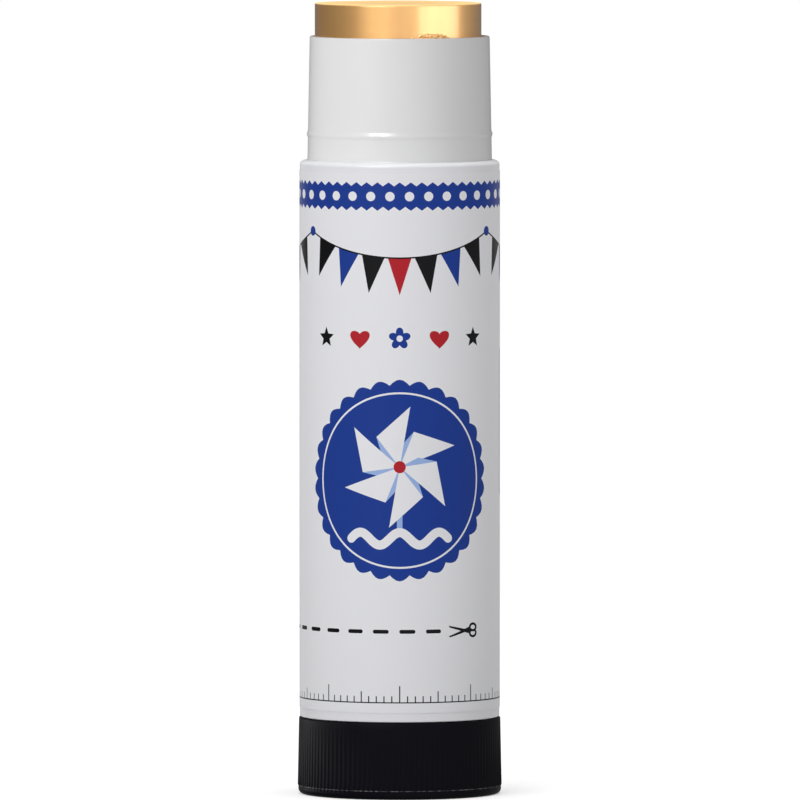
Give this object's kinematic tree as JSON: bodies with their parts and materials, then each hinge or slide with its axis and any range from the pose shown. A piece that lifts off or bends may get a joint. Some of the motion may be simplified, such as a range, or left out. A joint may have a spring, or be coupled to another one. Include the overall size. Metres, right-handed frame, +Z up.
{
  "type": "glue stick",
  "caption": "Twist-up glue stick with its cap off: black ribbed knob, white labelled sleeve, pale neck and an amber stick of glue wound a little way out.",
  "frame": {"origin": "on the table, under the middle of the knob that the stick stands on", "axes": "+Z up the stick's axis, from the knob to the glue; the middle of the label's front faces -Y"},
  "size_m": [0.026, 0.026, 0.1007],
  "materials": {
    "white_plastic": "satin",
    "label_film": "satin",
    "natural_plastic": "satin",
    "inner_plastic": "satin",
    "black_plastic": "satin",
    "amber_glue": "satin"
  },
  "bodies": {
    "barrel": {"body": "white_plastic", "label": "label_film", "inner_sleeve": "natural_plastic"},
    "drive": {"knob": "black_plastic", "spindle": "inner_plastic"},
    "lift": {"carriage": "inner_plastic", "glue": "amber_glue"}
  },
  "joints": [
    {"name": "knob_turn", "type": "hinge", "parent": "barrel", "child": "drive", "pos_m": [0, 0, 0], "axis": [0, 0, 1], "range_deg": [-720, 3888]},
    {"name": "glue_feed", "type": "slide", "parent": "barrel", "child": "lift", "axis": [0, 0, 1], "range_m": [-0.01, 0.054]}
  ],
  "couplings": [
    {"joint": "knob_turn", "follows": "glue_feed", "rad_per_m": 1256.6}
  ]
}
